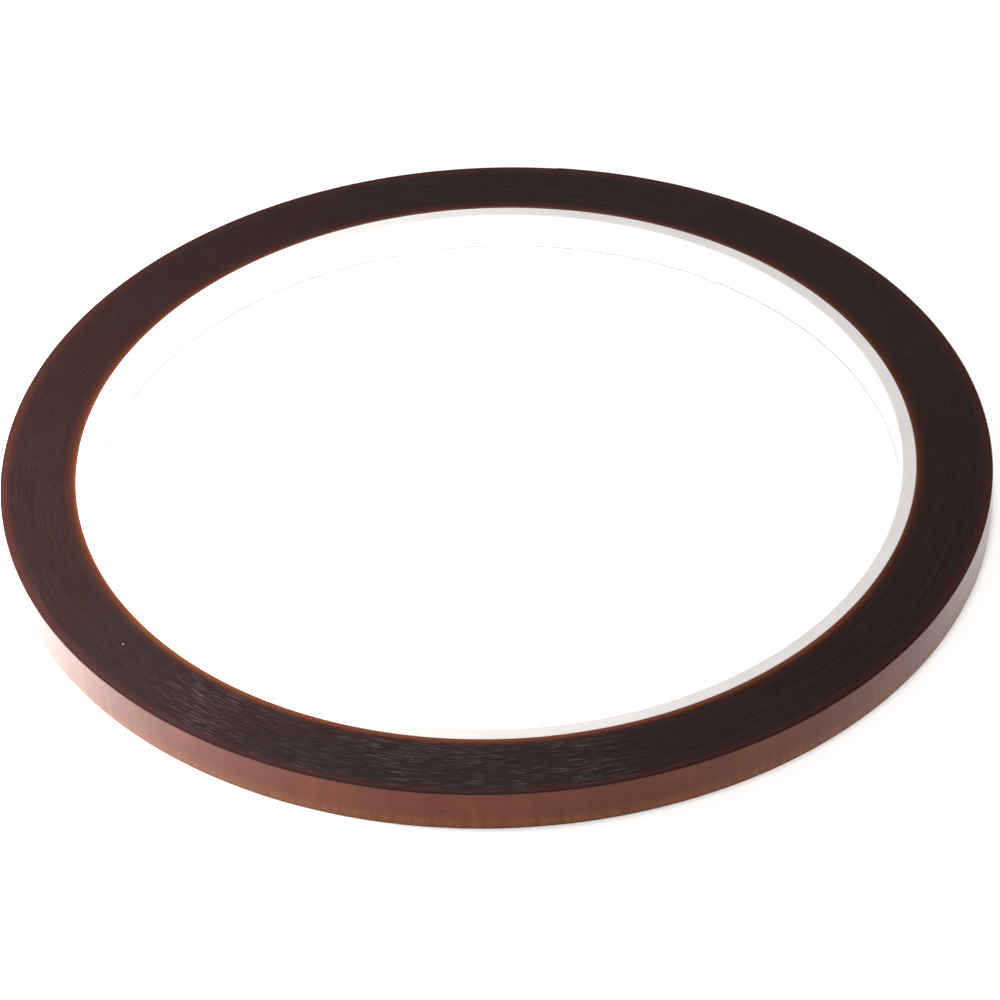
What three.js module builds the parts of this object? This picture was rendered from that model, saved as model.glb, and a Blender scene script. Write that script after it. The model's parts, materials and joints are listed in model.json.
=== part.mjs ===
// Copper foil tape roll for stained glass work: one narrow strip of adhesive-backed copper foil with
// its release liner, wound into a flat ring on a thin plastic core.
//
// Millimetres, +Z up along the roll's axis, origin at the centre of the underside. The strip is wound
// anticlockwise seen from above, copper side out. Its start turn, its outer turn and its free end are
// modelled layer by layer, and the turns between are one closed ring. The free end, the tail, is a
// row of links that bend away from the roll; on the last link the foil also peels off the liner.

import * as THREE from "three";

// The strip's layers, from its outer face inwards, and its slit width.
const FOIL_THICKNESS = 0.032;
const ADHESIVE_THICKNESS = 0.025;
const LINER_THICKNESS = 0.06;
const TAPE_WIDTH = 5.56;

// The core ring is as wide as the tape it carries.
const CORE_OUTER_RADIUS = 55.6;
const CORE_WALL = 1.85;
const CORE_EDGE_BEVEL = 0.2;

// Turns of the strip, with the start turn and the outer turn, and the direction of its outer end.
const TURN_COUNT = 85;
const FREE_END_DEGREES = 81;

// The stretch of strip that lifts off the roll; each link is a whole number of facets long.
const TAIL_LENGTH = 50;
const TAIL_LINKS = 5;

// Facets in one turn. Every ring uses the same facets, so neighbouring layers meet face to face.
const FACETS = 120;

const COPPER = { color: 0xb87058, metalness: 1, roughness: 0.38 };
const BLACK_ADHESIVE = { color: 0x1d171a, metalness: 0, roughness: 0.5 };
const LINER_PAPER = { color: 0x4a3a3c, metalness: 0, roughness: 0.85 };
const WOUND_EDGE = { color: 0x3a2a2e, metalness: 0.3, roughness: 0.6 };
const CORE_PLASTIC = { color: 0xe9e5e0, metalness: 0, roughness: 0.5 };

// The start turn has no liner: its adhesive holds the strip to the core.
const START_FOIL_RADIUS = CORE_OUTER_RADIUS + ADHESIVE_THICKNESS;
const RING_INNER_RADIUS = START_FOIL_RADIUS + FOIL_THICKNESS;

const TURN_PITCH = FOIL_THICKNESS + ADHESIVE_THICKNESS + LINER_THICKNESS;
const START_AND_OUTER_TURNS = 2;
const RING_BUILD = (TURN_COUNT - START_AND_OUTER_TURNS) * TURN_PITCH;
const RING_OUTER_RADIUS = RING_INNER_RADIUS + RING_BUILD;

const FACET_LENGTH = (2 * Math.PI * RING_OUTER_RADIUS) / FACETS;
const LINK_FACETS = Math.round(TAIL_LENGTH / TAIL_LINKS / FACET_LENGTH);
const TAIL_ROOT_FACET = FACETS - TAIL_LINKS * LINK_FACETS;

// A corner of the winding. Corners are counted anticlockwise from the free end, so corner 0 and
// corner FACETS lie in the same direction.
function corner(index, radius) {
  const turn = (index % FACETS) / FACETS;
  const angle = THREE.MathUtils.degToRad(FREE_END_DEGREES + 360 * turn);
  return new THREE.Vector2(radius * Math.cos(angle), radius * Math.sin(angle));
}

// The corners from first to last, both included, where radiusAt gives the radius at each index.
function corners(first, last, radiusAt) {
  const count = last - first + 1;
  return Array.from({ length: count }, (_, i) => corner(first + i, radiusAt(first + i)));
}

const circle = (radius) => corners(0, FACETS - 1, () => radius);

// The ring's outer face grows by one pitch in a turn: a spiral that ends in one step. The layers of
// the outer turn and the tail lie at fixed heights above it.
const spiral = (height) => (index) => RING_OUTER_RADIUS + height + (TURN_PITCH * index) / FACETS;

function upright(shape, bevel = 0) {
  return new THREE.ExtrudeGeometry(shape, {
    depth: TAPE_WIDTH - 2 * bevel,
    bevelEnabled: bevel > 0,
    bevelThickness: bevel,
    bevelSize: bevel,
    bevelOffset: -bevel,
    bevelSegments: 1,
  }).translate(0, 0, bevel);
}

function ring(outline, hole, bevel) {
  const shape = new THREE.Shape(outline);
  shape.holes.push(new THREE.Path(hole));
  return upright(shape, bevel);
}

function part(name, geometry, finish) {
  const mesh = new THREE.Mesh(geometry, new THREE.MeshStandardMaterial(finish));
  mesh.name = name;
  return mesh;
}

function makeCore() {
  const bore = circle(CORE_OUTER_RADIUS - CORE_WALL);
  return part("core_ring", ring(circle(CORE_OUTER_RADIUS), bore, CORE_EDGE_BEVEL), CORE_PLASTIC);
}

function makeStartTurn() {
  const adhesive = ring(circle(START_FOIL_RADIUS), circle(CORE_OUTER_RADIUS));
  const foil = ring(circle(RING_INNER_RADIUS), circle(START_FOIL_RADIUS));
  return [
    part("start_turn_adhesive", adhesive, BLACK_ADHESIVE),
    part("start_turn_foil", foil, COPPER),
  ];
}

function makeWoundTurns() {
  const outline = corners(0, FACETS, spiral(0));
  return part("wound_turns", ring(outline, circle(RING_INNER_RADIUS)), WOUND_EDGE);
}

// The three layers of one stretch of the strip's last turn, liner innermost.
function makeLayers(stretchName, first, last) {
  const layers = [
    ["liner", LINER_THICKNESS, LINER_PAPER],
    ["adhesive", ADHESIVE_THICKNESS, BLACK_ADHESIVE],
    ["foil", FOIL_THICKNESS, COPPER],
  ];
  let height = 0;
  return layers.map(([layerName, thickness, finish]) => {
    const inside = corners(first, last, spiral(height));
    height += thickness;
    const outside = corners(first, last, spiral(height));
    const shape = new THREE.Shape([...outside, ...inside.reverse()]);
    return part(`${stretchName}_${layerName}`, upright(shape), finish);
  });
}

// The links are named tail_1, tail_2 and so on from the root to the free end.
function makeTail() {
  const tail = new THREE.Group();
  for (let link = 0; link < TAIL_LINKS; link++) {
    const first = TAIL_ROOT_FACET + link * LINK_FACETS;
    tail.add(...makeLayers(`tail_${link + 1}`, first, first + LINK_FACETS));
  }
  return tail;
}

const roll = new THREE.Group();
roll.add(makeCore(), ...makeStartTurn(), makeWoundTurns());
roll.add(...makeLayers("outer_turn", 0, TAIL_ROOT_FACET), makeTail());

export default roll;
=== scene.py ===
"""The looks of a copper foil tape roll.

One narrow strip of adhesive-backed copper foil, with its release liner, is wound into a flat ring on
a thin plastic core. Metres, +Z up along the roll's axis, origin at the centre of the underside, -Y
towards the camera.

The strip is described by its wound angle: zero where the wound turns begin, a full circle more with
each turn, anticlockwise seen from above. The strip moves outwards by one pitch in a full circle, so
every piece of the winding is a function of the wound angle.
"""

import json
import logging
import math
from dataclasses import dataclass, field
from enum import Enum

import bpy
import numpy as np
from mathutils import Matrix, Vector

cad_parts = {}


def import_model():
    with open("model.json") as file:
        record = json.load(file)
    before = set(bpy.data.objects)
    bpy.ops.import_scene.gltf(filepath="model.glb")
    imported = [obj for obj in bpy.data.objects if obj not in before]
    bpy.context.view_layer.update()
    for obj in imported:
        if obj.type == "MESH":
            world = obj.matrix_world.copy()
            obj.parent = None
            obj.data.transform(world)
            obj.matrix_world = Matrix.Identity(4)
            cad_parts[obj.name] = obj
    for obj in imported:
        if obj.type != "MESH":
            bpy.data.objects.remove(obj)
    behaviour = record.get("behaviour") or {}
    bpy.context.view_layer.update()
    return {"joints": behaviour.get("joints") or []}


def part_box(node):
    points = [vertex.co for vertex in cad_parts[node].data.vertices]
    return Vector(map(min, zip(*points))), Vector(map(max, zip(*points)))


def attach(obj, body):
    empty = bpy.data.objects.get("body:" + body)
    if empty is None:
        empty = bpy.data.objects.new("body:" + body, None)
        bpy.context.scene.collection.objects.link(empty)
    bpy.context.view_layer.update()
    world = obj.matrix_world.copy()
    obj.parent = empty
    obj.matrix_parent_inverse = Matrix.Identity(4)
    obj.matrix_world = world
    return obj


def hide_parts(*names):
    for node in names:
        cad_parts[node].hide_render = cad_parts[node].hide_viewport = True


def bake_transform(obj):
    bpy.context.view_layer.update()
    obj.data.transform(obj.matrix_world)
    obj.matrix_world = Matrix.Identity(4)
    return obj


MM = 0.001
CIRCLE = 2 * math.pi
PLACE_MAP = "along_strip"

# A noise texture's values lie mostly between these two.
NOISE_RANGE = (0.3, 0.7)

log = logging.getLogger("tape_roll")

Colour = tuple[float, float, float]
Socket = bpy.types.NodeSocket
Sockets = dict[str, bpy.types.NodeSocket]


# ---------------------------------------------------------------------------------------------
# The strip and its spiral
# ---------------------------------------------------------------------------------------------


class Layer(Enum):
    """The strip's layers, from its inner face outwards."""

    LINER = "liner"
    ADHESIVE = "adhesive"
    FOIL = "foil"


@dataclass(frozen=True)
class Strip:
    """The strip's layers and the spiral it is wound on, in metres and radians.

    The slit edges of the layers lie a little inside the strip's width, by their setbacks: the foil
    stands proud of the other two.
    """

    core_radius: float
    adhesive: float
    foil: float
    width: float
    liner: float = 0.06 * MM
    turns: int = 85
    end_direction: float = math.radians(81)
    liner_setback: float = 0.012 * MM
    adhesive_setback: float = 0.018 * MM
    foil_setback: float = 0.002 * MM
    edge_rounding: float = 0.3
    corner_steps: int = 3

    @classmethod
    def from_frame(cls) -> "Strip":
        """Reads the radii and the width off the frame's core and start turn.

        Returns:
            The strip.
        """
        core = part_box("core_ring")[1]
        adhesive_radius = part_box("start_turn_adhesive")[1].x
        foil_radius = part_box("start_turn_foil")[1].x
        return cls(core.x, adhesive_radius - core.x, foil_radius - adhesive_radius, core.z)

    @property
    def pitch(self) -> float:
        """The strip's whole thickness, by which the winding grows in a turn."""
        return self.liner + self.adhesive + self.foil

    @property
    def ring_inner(self) -> float:
        """The radius on which the wound turns begin, outside the start turn."""
        return self.core_radius + self.adhesive + self.foil

    @property
    def wound_turns(self) -> int:
        """Turns between the start turn and the outer turn, the tapered first one included."""
        return self.turns - 1

    def inner_face(self, wound: np.ndarray) -> np.ndarray:
        """Radius of the strip's inner face: one pitch more per turn once the first turn is laid."""
        return self.ring_inner + self.pitch * np.maximum(wound / CIRCLE - 1, 0)

    def outer_face(self, wound: np.ndarray) -> np.ndarray:
        """Radius of the strip's outer face: one pitch more per turn from the ring's inner circle."""
        return self.ring_inner + self.pitch * wound / CIRCLE

    def span(self, layer: Layer) -> tuple[float, float]:
        """Heights above the strip's inner face between which a layer lies.

        Args:
            layer: the layer.

        Returns:
            The lower and the upper height.
        """
        foil_from = self.liner + self.adhesive
        return {
            Layer.LINER: (0.0, self.liner),
            Layer.ADHESIVE: (self.liner, foil_from),
            Layer.FOIL: (foil_from, self.pitch),
        }[layer]

    def setback(self, layer: Layer) -> float:
        """How far a layer's slit edge lies inside the strip's width.

        Args:
            layer: the layer.

        Returns:
            The setback.
        """
        return {
            Layer.LINER: self.liner_setback,
            Layer.ADHESIVE: self.adhesive_setback,
            Layer.FOIL: self.foil_setback,
        }[layer]

    def point(self, radius: np.ndarray, wound: np.ndarray, height: np.ndarray) -> np.ndarray:
        """Polar place to points: the direction is the free end's plus the wound angle."""
        angle = self.end_direction + wound
        return np.stack([radius * np.cos(angle), radius * np.sin(angle), height], axis=-1)


# ---------------------------------------------------------------------------------------------
# Meshes from arrays
# ---------------------------------------------------------------------------------------------


@dataclass
class Surface:
    """Points, faces and a flat place for each point, which become one mesh object."""

    name: str
    points: np.ndarray
    quads: np.ndarray
    caps: list[np.ndarray] = field(default_factory=list)
    place: np.ndarray | None = None

    def volume(self) -> float:
        """Signed volume of the closed surface: a third of each triangle's place dotted with its area.

        Returns:
            The volume, above 0 where the faces point out.
        """
        fans = [self.quads[:, [0, 1, 2]], self.quads[:, [0, 2, 3]]]
        for cap in self.caps:
            fans.append(np.stack([np.full(len(cap) - 2, cap[0]), cap[1:-1], cap[2:]], axis=-1))
        a, b, c = (self.points[np.concatenate(fans)[:, corner]] for corner in range(3))
        return float(np.einsum("ij,ij->i", a, np.cross(b, c)).sum() / 6)

    def build(self, sharp_angle: float = math.radians(32)) -> bpy.types.Object:
        """Makes the mesh object, with its faces pointing out and its hard edges marked.

        Args:
            sharp_angle: faces that meet at more than this angle keep a hard edge between them.

        Returns:
            The object, at the origin, linked to the scene.
        """
        step = 1 if self.volume() > 0 else -1
        quads = self.quads[:, ::step]
        caps = [cap[::step] for cap in self.caps]
        corners = np.concatenate([quads.ravel(), *caps]).astype(np.int32)
        lengths = np.concatenate([np.full(len(quads), 4), [len(cap) for cap in caps]])
        starts = np.concatenate([[0], np.cumsum(lengths)[:-1]]).astype(np.int32)

        mesh = bpy.data.meshes.new(self.name)
        mesh.vertices.add(len(self.points))
        mesh.vertices.foreach_set("co", self.points.astype(np.float32).ravel())
        mesh.loops.add(len(corners))
        mesh.loops.foreach_set("vertex_index", corners)
        mesh.polygons.add(len(starts))
        mesh.polygons.foreach_set("loop_start", starts)
        mesh.update(calc_edges=True)
        if self.place is not None:
            place_map = mesh.uv_layers.new(name=PLACE_MAP)
            place_map.uv.foreach_set("vector", self.place[corners].astype(np.float32).ravel())
        mesh.shade_smooth()
        mesh.set_sharp_from_angle(angle=sharp_angle)

        made = bpy.data.objects.new(self.name, mesh)
        bpy.context.scene.collection.objects.link(made)
        return made


def sweep(name: str, rows: np.ndarray, closed: bool, place: np.ndarray | None = None) -> Surface:
    """A closed outline carried along a path: each row of points is joined to the next row.

    Args:
        name: the piece's name.
        rows: points as an array of (rows, outline points, 3).
        closed: True where the last row meets the first; otherwise both ends get a flat cap.
        place: flat places, as an array of (rows, outline points, 2).

    Returns:
        The closed surface.
    """
    count, around = rows.shape[:2]
    index = np.arange(count * around).reshape(count, around)
    ahead = np.roll(index, -1, axis=0)
    here, ahead = (index, ahead) if closed else (index[:-1], ahead[:-1])
    beside, beyond = np.roll(here, -1, axis=1), np.roll(ahead, -1, axis=1)
    quads = np.stack([here, ahead, beyond, beside], axis=-1).reshape(-1, 4)
    caps = [] if closed else [index[0], index[-1][::-1]]
    flat_place = None if place is None else place.reshape(-1, 2)
    return Surface(name, rows.reshape(-1, 3), quads, caps, flat_place)


def rounded_outline(depth: float, height: float, rounding: float, steps: int, rows: int) -> np.ndarray:
    """An upright rectangle with round corners, as (depth, height) points in order around it.

    Each corner is a quarter circle of the rounding's radius; the two upright sides carry extra points.

    Args:
        depth: its size outwards from the inner side.
        height: its size upwards.
        rounding: the corners' radius.
        steps: points on each corner's arc.
        rows: extra points along each upright side.

    Returns:
        An array of (points, 2).
    """
    centres = [
        (depth - rounding, rounding, -90),
        (depth - rounding, height - rounding, 0),
        (rounding, height - rounding, 90),
        (rounding, rounding, 180),
    ]
    turn = np.linspace(0, math.pi / 2, steps)
    arcs = [
        np.stack(
            [
                x + rounding * np.cos(math.radians(first) + turn),
                z + rounding * np.sin(math.radians(first) + turn),
            ],
            axis=-1,
        )
        for x, z, first in centres
    ]
    share = np.linspace(0, 1, rows + 2)[1:-1, None]
    outer_side = arcs[0][-1] + share * (arcs[1][0] - arcs[0][-1])
    inner_side = arcs[2][-1] + share * (arcs[3][0] - arcs[2][-1])
    return np.concatenate([arcs[0], outer_side, arcs[1], arcs[2], inner_side, arcs[3]])


@dataclass(frozen=True)
class Ripples:
    """A smooth random field on a flat place, made of sine waves with seeded lengths and phases."""

    along: float
    across: float
    waves: int
    seed: int

    def at(self, along: np.ndarray, across: np.ndarray) -> np.ndarray:
        """The field's value, the sum of its waves over the root of their number: mostly -1.5 to 1.5.

        Args:
            along: places along the strip, in metres or radians like the field's own lengths.
            across: places across it, in the same way.

        Returns:
            The value at each place.
        """
        draw = np.random.default_rng(self.seed)
        pace_along = draw.normal(0, 1, self.waves) * CIRCLE / self.along
        pace_across = draw.normal(0, 1, self.waves) * CIRCLE / self.across
        phase = draw.uniform(0, CIRCLE, self.waves)
        total = np.zeros(np.broadcast(along, across).shape)
        for k in range(self.waves):
            total += np.sin(pace_along[k] * along + pace_across[k] * across + phase[k])
        return total / math.sqrt(self.waves)


# ---------------------------------------------------------------------------------------------
# Shader graphs
# ---------------------------------------------------------------------------------------------


@dataclass(frozen=True)
class Bump:
    """A bump's strength, from 0 to 1, and its depth in metres."""

    strength: float
    depth: float


class Graph:
    """Adds nodes to one node tree in the order they are read."""

    def __init__(self, tree: bpy.types.NodeTree) -> None:
        """Starts with an empty tree."""
        self.tree = tree
        tree.nodes.clear()

    def node(self, kind: str, settings: dict | None = None, **inputs: object) -> bpy.types.Node:
        """Adds a node.

        Args:
            kind: the node's type, without the ShaderNode in front.
            settings: the node's own properties.
            **inputs: values or sockets for its inputs, with _ for a space in an input's name.

        Returns:
            The node.
        """
        made = self.tree.nodes.new(kind if kind.startswith("Node") else "ShaderNode" + kind)
        for name, value in (settings or {}).items():
            setattr(made, name, value)
        for name, value in inputs.items():
            self.feed(made.inputs[name.replace("_", " ")], value)
        return made

    def feed(self, socket: Socket, value: object) -> None:
        """Links a socket to an input, or sets the input's own value.

        Args:
            socket: the input.
            value: a socket to link, a colour, or a plain value.
        """
        if isinstance(value, Socket):
            self.tree.links.new(value, socket)
        elif isinstance(value, tuple) and socket.type == "RGBA":
            socket.default_value = (*value, 1.0)
        else:
            socket.default_value = value

    def math(self, operation: str, *values: object) -> Socket:
        """A Math node's result.

        Args:
            operation: the node's operation.
            *values: values or sockets for its inputs.

        Returns:
            The result.
        """
        made = self.node("Math", {"operation": operation})
        for socket, value in zip(made.inputs, values):
            self.feed(socket, value)
        return made.outputs[0]

    def span(
        self, value: object, low: object, high: object, to_low: object = 0.0, to_high: object = 1.0
    ) -> Socket:
        """Maps a value by a smooth step: to_low at or before low, to_high at or beyond high.

        Args:
            value: the value to map.
            low: where the step starts; it may be more than high.
            high: where the step ends.
            to_low: the result at low.
            to_high: the result at high.

        Returns:
            The mapped value.
        """
        made = self.node("MapRange", {"interpolation_type": "SMOOTHSTEP"})
        for socket, fed in zip(made.inputs, (value, low, high, to_low, to_high)):
            self.feed(socket, fed)
        return made.outputs[0]

    def mix(self, share: object, first: object, second: object) -> Socket:
        """Mixes two colours.

        Args:
            share: how much of the second colour there is.
            first: the colour at a share of 0.
            second: the colour at a share of 1.

        Returns:
            The mixed colour.
        """
        made = self.node("Mix", {"data_type": "RGBA"})
        colours = [socket for socket in made.inputs if socket.type == "RGBA"]
        self.feed(made.inputs[0], share)
        self.feed(colours[0], first)
        self.feed(colours[1], second)
        return next(socket for socket in made.outputs if socket.type == "RGBA")

    def vector(self, x: object, y: object, z: object = 0.0) -> Socket:
        """A vector of three values."""
        return self.node("CombineXYZ", X=x, Y=y, Z=z).outputs[0]

    def parts(self, vector: object) -> list[Socket]:
        """A vector's three values."""
        return list(self.node("SeparateXYZ", Vector=vector).outputs)

    def distance(self, x: object, y: object) -> Socket:
        """The root of the sum of two values' squares."""
        squares = self.math("ADD", self.math("MULTIPLY", x, x), self.math("MULTIPLY", y, y))
        return self.math("SQRT", squares)

    def noise(self, vector: object, detail: float = 2.0, roughness: float = 0.5) -> Socket:
        """A noise texture's value, about 0.5 on average."""
        made = self.node("TexNoise", Vector=vector, Scale=1.0, Detail=detail, Roughness=roughness)
        return made.outputs[0]

    def bump(self, height: object, bump: "Bump", below: Socket | None = None) -> Socket:
        """Raises the surface's normal by a height.

        Args:
            height: the height, from 0 to 1.
            bump: how strong and how deep the bump is.
            below: the normal of a coarser or finer bump that this one is added to.

        Returns:
            The new normal.
        """
        made = self.node("Bump", Strength=bump.strength, Distance=bump.depth, Height=height)
        if below is not None:
            self.feed(made.inputs["Normal"], below)
        return made.outputs[0]

    def group(self, effect: "SharedEffect", **inputs: object) -> bpy.types.Node:
        """Places a shared effect.

        Args:
            effect: the effect, whose node group is built if it isn't there yet.
            **inputs: values or sockets for the group's inputs, with _ for a space in a name.

        Returns:
            The group's node.
        """
        made = self.tree.nodes.new("ShaderNodeGroup")
        made.node_tree = effect.tree()
        for name, value in inputs.items():
            self.feed(made.inputs[name.replace("_", " ")], value)
        return made


class SharedEffect:
    """A node group, built the first time a finish asks for it."""

    name: str
    takes: dict[str, str]
    gives: dict[str, str]

    def tree(self) -> bpy.types.NodeTree:
        """Finds the group's tree, or builds it.

        Returns:
            The tree.
        """
        found = bpy.data.node_groups.get(self.name)
        if found:
            return found
        tree = bpy.data.node_groups.new(self.name, "ShaderNodeTree")
        graph = Graph(tree)
        for name, kind in self.takes.items():
            tree.interface.new_socket(name, in_out="INPUT", socket_type=kind)
        for name, kind in self.gives.items():
            tree.interface.new_socket(name, in_out="OUTPUT", socket_type=kind)
        given = graph.node("NodeGroupInput").outputs
        results = self.draw(graph, {socket.name: socket for socket in given if socket.name})
        out = graph.node("NodeGroupOutput")
        for name, result in results.items():
            graph.feed(out.inputs[name], result)
        return tree

    def draw(self, graph: Graph, given: Sockets) -> Sockets:
        """Adds the group's nodes.

        Args:
            graph: the group's graph.
            given: the group's inputs, by name.

        Returns:
            What the group gives, by name.
        """
        raise NotImplementedError


class RolledLines(SharedEffect):
    """Fine lines drawn out along the strip: noise on the place, squeezed by a length and a width."""

    name = "rolled_lines"
    takes = {"Place": "NodeSocketVector", "Length": "NodeSocketFloat", "Width": "NodeSocketFloat"}
    gives = {"Lines": "NodeSocketFloat"}

    def draw(self, graph: Graph, given: Sockets) -> Sockets:
        """Divides the place by the length and the width, and reads noise there.

        Args:
            graph: the group's graph.
            given: the group's inputs, by name.

        Returns:
            The lines, from 0 to 1, mostly near a half.
        """
        along, across, _ = graph.parts(given["Place"])
        squeezed = graph.vector(
            graph.math("DIVIDE", along, given["Length"]), graph.math("DIVIDE", across, given["Width"])
        )
        return {"Lines": graph.noise(squeezed, detail=3.0, roughness=0.6)}


class Specks(SharedEffect):
    """Scattered round specks of mixed sizes: the distance to random points, cut at a random radius.

    A speck is whole up to the solid share of its radius, and fades out from there.
    """

    name = "specks"
    solid = 0.5
    takes = {
        "Place": "NodeSocketVector",
        "Spacing": "NodeSocketFloat",
        "Radius": "NodeSocketFloat",
        "Share": "NodeSocketFloat",
    }
    gives = {"Mask": "NodeSocketFloat"}

    def draw(self, graph: Graph, given: Sockets) -> Sockets:
        """Puts a speck into each cell whose random number is under the share.

        Args:
            graph: the group's graph.
            given: the group's inputs, by name.

        Returns:
            The specks' mask.
        """
        frequency = graph.math("DIVIDE", 1.0, given["Spacing"])
        cells = graph.node("TexVoronoi", Vector=given["Place"], Scale=frequency)
        chance, size, _ = graph.parts(cells.outputs["Color"])
        radius = graph.math("DIVIDE", graph.math("MULTIPLY", given["Radius"], size), given["Spacing"])
        solid = graph.math("MULTIPLY", radius, self.solid)
        inside = graph.span(cells.outputs["Distance"], radius, solid)
        return {"Mask": graph.math("MULTIPLY", inside, graph.math("LESS_THAN", chance, given["Share"]))}


class Blotches(SharedEffect):
    """Soft uneven areas, as handling and storage leave: noise on the place, spread over 0 to 1."""

    name = "blotches"
    takes = {"Place": "NodeSocketVector", "Size": "NodeSocketFloat"}
    gives = {"Mask": "NodeSocketFloat"}

    def draw(self, graph: Graph, given: Sockets) -> Sockets:
        """Reads noise at the place divided by the size.

        Args:
            graph: the group's graph.
            given: the group's inputs, by name.

        Returns:
            The areas' mask.
        """
        scaled = graph.node("VectorMath", {"operation": "SCALE"}, Vector=given["Place"])
        graph.feed(scaled.inputs["Scale"], graph.math("DIVIDE", 1.0, given["Size"]))
        return {"Mask": graph.span(graph.noise(scaled.outputs[0]), *NOISE_RANGE)}


class WoundPlace(SharedEffect):
    """Where a point of the winding's edge lies: its radius, its turn and its place along the strip.

    The turn is the distance from the ring's inner circle in pitches, less the share of a circle from
    the free end's direction. Its fraction says which layer of the strip the point is on.
    """

    name = "wound_place"
    takes = {
        "Ring Inner": "NodeSocketFloat",
        "Pitch": "NodeSocketFloat",
        "End Direction": "NodeSocketFloat",
    }
    gives = {
        "Radius": "NodeSocketFloat",
        "Layer": "NodeSocketFloat",
        "Streak Place": "NodeSocketVector",
    }

    def draw(self, graph: Graph, given: Sockets) -> Sockets:
        """Works in polar coordinates from Object coordinates.

        Args:
            graph: the group's graph.
            given: the group's inputs, by name.

        Returns:
            The radius, the place within a turn, and a place for streaks along the strip.
        """
        x, y, _ = graph.parts(graph.node("TexCoord").outputs["Object"])
        radius = graph.distance(x, y)
        angle = graph.math("SUBTRACT", graph.math("ARCTAN2", y, x), given["End Direction"])
        turned = graph.math("FRACT", graph.math("DIVIDE", angle, CIRCLE))
        laid = graph.math("DIVIDE", graph.math("SUBTRACT", radius, given["Ring Inner"]), given["Pitch"])
        layer = graph.math("FRACT", graph.math("SUBTRACT", laid, turned))
        east, north = graph.math("DIVIDE", x, radius), graph.math("DIVIDE", y, radius)
        return {"Radius": radius, "Layer": layer, "Streak Place": graph.vector(laid, east, north)}


# ---------------------------------------------------------------------------------------------
# Finishes
# ---------------------------------------------------------------------------------------------


def new_material(name: str) -> tuple[bpy.types.Material, Graph, bpy.types.Node]:
    """Makes a material with an empty graph and a Principled shader on its output.

    Args:
        name: the material's name.

    Returns:
        The material, its graph and its shader.
    """
    material = bpy.data.materials.new(name)
    material.use_nodes = True
    graph = Graph(material.node_tree)
    shader = graph.node("BsdfPrincipled")
    out = graph.node("OutputMaterial")
    graph.feed(out.inputs["Surface"], shader.outputs[0])
    return material, graph, shader


def set_shader(graph: Graph, shader: bpy.types.Node, **inputs: object) -> None:
    """Sets or links a shader's inputs.

    Args:
        graph: the material's graph.
        shader: the shader.
        **inputs: values or sockets for its inputs, with _ for a space in a name.
    """
    for name, value in inputs.items():
        graph.feed(shader.inputs[name.replace("_", " ")], value)


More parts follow.
